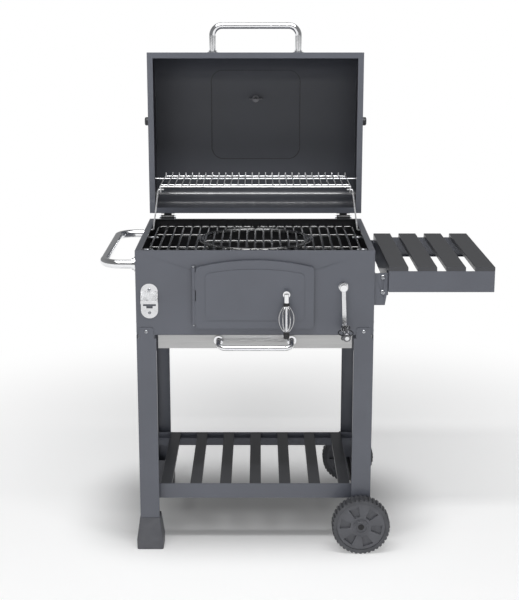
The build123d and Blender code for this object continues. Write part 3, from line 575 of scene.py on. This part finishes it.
def crossHead(shape, matrix, radius, height):
    # a domed head whose top is a cross recess, made on a square grid bent to a disc
    cells = 14
    grid = []
    for row in range(cells + 1):
        line = []
        for column in range(cells + 1):
            u, v = 2 * column / cells - 1, 2 * row / cells - 1
            x = u * math.sqrt(1 - v * v / 2)
            y = v * math.sqrt(1 - u * u / 2)
            away = math.hypot(x, y)
            z = height * math.sqrt(max(0.0, 1 - (away * 0.97) ** 2)) ** 0.8
            arm = screwLook["crossLength"]
            thick = screwLook["crossWidth"]
            inCross = (abs(x) < arm and abs(y) < thick) or (abs(y) < arm and abs(x) < thick)
            if inCross:
                z -= height * screwLook["crossDepth"]
            line.append(shape.verts.new(matrix @ Vector((x * radius, y * radius, z))))
        grid.append(line)
    for row in range(cells):
        for column in range(cells):
            shape.faces.new((grid[row][column], grid[row][column + 1],
                             grid[row + 1][column + 1], grid[row + 1][column]))
    rim = grid[0] + [line[-1] for line in grid[1:]] + grid[-1][-2::-1] + [line[0] for line in grid[-2:0:-1]]
    foot = [shape.verts.new(matrix @ Vector((*(matrix.inverted() @ v.co).xy, 0.0))) for v in rim]
    count = len(rim)
    for step in range(count):
        nextStep = (step + 1) % count
        shape.faces.new((rim[step], foot[step], foot[nextStep], rim[nextStep]))
    shape.faces.new(foot)


def allScrews(shape):
    middle = boxMiddle
    for low, high in islands(parts["body_screws"]):
        size = high - low
        centre = (low + high) / 2
        thin = min(range(3), key=lambda i: size[i])
        if thin == 2 or max(size) > 0.0115:      # a table bolt: head, shank and nut along Y
            sign = -1 if centre.y < middle.y else 1
            turn = Matrix.Rotation(math.radians(90 if sign < 0 else -90), 4, "X")
            spot = Matrix.Translation((centre.x, low.y if sign < 0 else high.y, centre.z))
            inner = spot @ turn @ Matrix.Translation((0, 0, -size.y))
            crossHead(shape, spot @ turn @ Matrix.Translation((0, 0, -0.0036)), 0.006, 0.0036)
            shank = [(0.0, 0.0035), (0.003, 0.0035), (0.003, size.y - 0.003), (0.0, size.y - 0.003)]
            lathe(shape, shank, inner, 20)
            nut = [(0.0, 0.0), (0.0052, 0.0), (0.006, 0.0006), (0.006, 0.0034), (0.0, 0.0034)]
            lathe(shape, nut, inner, 6)
            continue
        direction = Vector((0, 0, 0))
        direction[thin] = 1 if centre[thin] > middle[thin] else -1
        turn = Vector((0, 0, 1)).rotation_difference(direction).to_matrix().to_4x4()
        base = centre - direction * size[thin] / 2
        radius = max(size) / 2
        crossHead(shape, Matrix.Translation(base) @ turn, radius, size[thin])


screws = meshPiece("screws", "stand", zinc, allScrews)
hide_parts("body_screws")
print("screws made")


# wheel centres: a raised ring round a small dark bolt
hubCapLook = {"ring": 0.0165, "ringWidth": 0.003, "height": 0.0035, "bolt": 0.0048}


def hubCentre(shape, middle, face, sign):
    turn = Matrix.Translation((middle.x, face, middle.z)) @ Matrix.Rotation(math.radians(90 * sign), 4, "X")
    ring, wide, high = hubCapLook["ring"], hubCapLook["ringWidth"], hubCapLook["height"]
    lathe(shape, [(0, -0.004), (ring, -0.004), (ring, high * 0.75), (ring - wide * 0.3, high),
                  (ring - wide * 0.8, high), (ring - wide, high * 0.75), (ring - wide, 0.0008),
                  (hubCapLook["bolt"] + 0.001, 0.0002), (0, 0.0002)], turn, 48)


def hubBolt(shape, middle, face, sign):
    turn = Matrix.Translation((middle.x, face, middle.z)) @ Matrix.Rotation(math.radians(90 * sign), 4, "X")
    crossHead(shape, turn, hubCapLook["bolt"], 0.0026)


for side, sign in (("front", 1), ("rear", -1)):
    hubLow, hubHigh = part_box("hub_" + side)
    middle = (hubLow + hubHigh) / 2
    face = (hubLow.y if sign > 0 else hubHigh.y) + 0.0015 * sign
    meshPiece("hub_centre_" + side, "wheel_" + side, greyPlastic,
              lambda shape: hubCentre(shape, middle, face, sign))
    meshPiece("hub_bolt_" + side, "wheel_" + side, darkMetal,
              lambda shape: hubBolt(shape, middle, face - 0.0002 * sign, sign))
print("wheel centres made")


# thermometer face, on the hood's outer side
gaugeLook = {"radius": 0.0255, "marks": 13, "sweep": 270, "markLength": 0.004, "needle": 0.019}
gaugeMiddle = Vector(((gaugeLow.x + gaugeHigh.x) / 2, gaugeHigh.y - 0.0027, (gaugeHigh.z + gaugeLow.z) / 2))
outward = Matrix.Translation(gaugeMiddle) @ Matrix.Rotation(math.radians(-90), 4, "X")


def gaugeFace(shape):
    r = gaugeLook["radius"]
    lathe(shape, [(0, 0), (r * 0.55, 0), (r * 0.58, 0.00025), (r * 0.82, 0.00025), (r * 0.85, 0), (r, 0),
                  (r, -0.0005), (0, -0.0005)], outward, 64)


def slab(shape, matrix, outline, low, high):
    # a flat outline given a thickness
    bottom = [shape.verts.new(matrix @ Vector((x, y, low))) for x, y in outline]
    top = [shape.verts.new(matrix @ Vector((x, y, high))) for x, y in outline]
    shape.faces.new(bottom)
    shape.faces.new(top)
    for step in range(len(outline)):
        other = (step + 1) % len(outline)
        shape.faces.new((bottom[step], bottom[other], top[other], top[step]))


def gaugeMarks(shape):
    outer = gaugeLook["radius"] * 0.97
    for mark in range(gaugeLook["marks"]):
        angle = math.radians(gaugeLook["sweep"] * (mark / (gaugeLook["marks"] - 1) - 0.5))
        length = gaugeLook["markLength"] * (1 if mark % 3 == 0 else 0.6)
        half = 0.0006 if mark % 3 == 0 else 0.0004
        turn = outward @ Matrix.Rotation(angle, 4, "Z")
        inner = -outer + length
        slab(shape, turn, [(-half, inner), (-half, -outer), (half, -outer), (half, inner)], 0.00005, 0.0005)


def gaugeNeedle(shape):
    reach = gaugeLook["needle"]
    slab(shape, outward, [(-0.0012, 0.006), (-0.0011, -reach * 0.5), (0, -reach), (0.0011, -reach * 0.5),
                          (0.0012, 0.006)], 0.0006, 0.0013)
    lathe(shape, [(0, 0.0022), (0.002, 0.002), (0.003, 0.0013), (0.003, 0.0006), (0, 0.0006)], outward, 24)


dialPaint = dialFace("dialPaint", gaugeMiddle, gaugeLook["radius"])
meshPiece("gauge_face", "lid", dialPaint, gaugeFace)
meshPiece("gauge_marks", "lid", darkMetal, gaugeMarks)
meshPiece("gauge_needle", "lid", darkMetal, gaugeNeedle)
print("thermometer face made")


# stage, light and camera
stageLook = {
    "floorSize": 30.0,
    "floor": (0.9, 0.9, 0.9, 1),
    "cloud": (0.88, 0.88, 0.88, 1),
    "cloudSize": 0.4,
    "roughness": 0.9,
    "lift": 0.45,
    "fadeStart": 0.7,            # the floor turns white from here
    "fadeEnd": 1.9,
    "shadowPool": (-0.1, -0.03, 0),    # painted shadow: the darker patch under the object
    "shadowPoolHalf": (0.22, 0.09, 1),
    "shadowPoolEdge": 0.34,
    "shadowPoolColour": (0.55, 0.55, 0.55, 1),
    "shadowPoolLift": (0.1, 0.1, 0.1, 1),
}


def floorPaint(name, look):
    f = Finish(name)
    away = f.fade(f.vector("LENGTH", f.place, out=1), look["fadeStart"], look["fadeEnd"], 0.0, 1.0)
    # painted shadow: the floor is darker and glows less in the patch under the object
    shadow = f.fade(f.beyond(look["shadowPool"], look["shadowPoolHalf"]), 0.0, look["shadowPoolEdge"], 1.0, 0.0)
    paper = f.tint(look["floor"], look["cloud"], f.noise(look["cloudSize"], 3))
    near = f.node("ShaderNodeBsdfPrincipled", None, {
        "Base Color": f.tint(paper, look["shadowPoolColour"], shadow),
        "Roughness": look["roughness"],
        "Emission Color": f.tint((1, 1, 1, 1), look["shadowPoolLift"], shadow),
        "Emission Strength": look["lift"],
    })
    far = f.node("ShaderNodeEmission", None, {"Color": (1, 1, 1, 1), "Strength": 1.0})
    blended = f.node("ShaderNodeMixShader", None, {0: away, 1: near, 2: far})
    f.node("ShaderNodeOutputMaterial", None, {"Surface": blended})
    return f.material


floorMesh = bpy.data.meshes.new("floor")
reach = stageLook["floorSize"]
corners = [(-reach, -reach, 0), (reach, -reach, 0), (reach, reach, 0), (-reach, reach, 0)]
floorMesh.from_pydata(corners, [], [(0, 1, 2, 3)])
floorMesh.materials.append(floorPaint("floorPaint", stageLook))
floor = bpy.data.objects.new("floor", floorMesh)
bpy.context.scene.collection.objects.link(floor)

skyLook = {"back": 0.25, "front": 0.22, "top": 0.75, "colour": (0.98, 0.99, 1, 1)}
world = bpy.data.worlds.new("studio")
bpy.context.scene.world = world
sky = Finish("studio", world)
towards = sky.axis(sky.direction, 1)
upward = sky.axis(sky.direction, 2)
front = sky.fade(towards, 0.6, -0.5, skyLook["back"], skyLook["front"])
high = sky.fade(upward, 0.2, 0.9, 1.0, skyLook["top"])
seen = sky.node("ShaderNodeBackground", None, {"Color": (1, 1, 1, 1), "Strength": 1.0})
lit = sky.node("ShaderNodeBackground", None, {"Color": skyLook["colour"], "Strength": front * high})
either = sky.node("ShaderNodeMixShader", None, {0: sky.node("ShaderNodeLightPath"), 1: lit, 2: seen})
sky.node("ShaderNodeOutputWorld", None, {"Surface": either})


def softbox(name, look):
    lamp = bpy.data.lights.new(name, "AREA")
    lamp.shape = "RECTANGLE"
    lamp.size, lamp.size_y = look["size"]
    lamp.energy = look["power"]
    holder = bpy.data.objects.new(name, lamp)
    bpy.context.scene.collection.objects.link(holder)
    holder.location = look["place"]
    holder.rotation_euler = (Vector(look["aim"]) - Vector(look["place"])).to_track_quat("-Z", "Y").to_euler()
    return holder


keyLook = {"place": (-0.1, -1.45, 3.25), "aim": (-0.1, 0.35, 0.85), "size": (2.6, 0.32), "power": 44}
fillLook = {"place": (-0.6, -4.3, 0.9), "aim": (0, 0, 0.7), "size": (3.0, 2.0), "power": 44}
glintLook = {"place": (0, -0.9, 3.4), "aim": (0, -0.3, 0.8), "size": (3.2, 3.4), "power": 120}
softbox("keyBox", keyLook)
softbox("frontFill", fillLook).visible_glossy = False        # lights the panels without a reflection
softbox("glintCard", glintLook).visible_diffuse = False      # seen only in the bright metal and the enamel

cameraLook = {
    "place": (-0.0917, -3.4032, 1.4223),
    "down": 13.343,
    "lens": 75.92,
    "sensor": 36.0,
    "rise": -7 / 600,
}
lens = bpy.data.cameras.new("view")
lens.lens = cameraLook["lens"]
lens.sensor_width = cameraLook["sensor"]
lens.shift_y = cameraLook["rise"]
lens.clip_end = 200
camera = bpy.data.objects.new("view", lens)
bpy.context.scene.collection.objects.link(camera)
camera.location = cameraLook["place"]
camera.rotation_euler = (math.radians(90 - cameraLook["down"]), 0, 0)
bpy.context.scene.camera = camera
bpy.context.scene.view_settings.view_transform = "Standard"
print("stage, light and camera set")
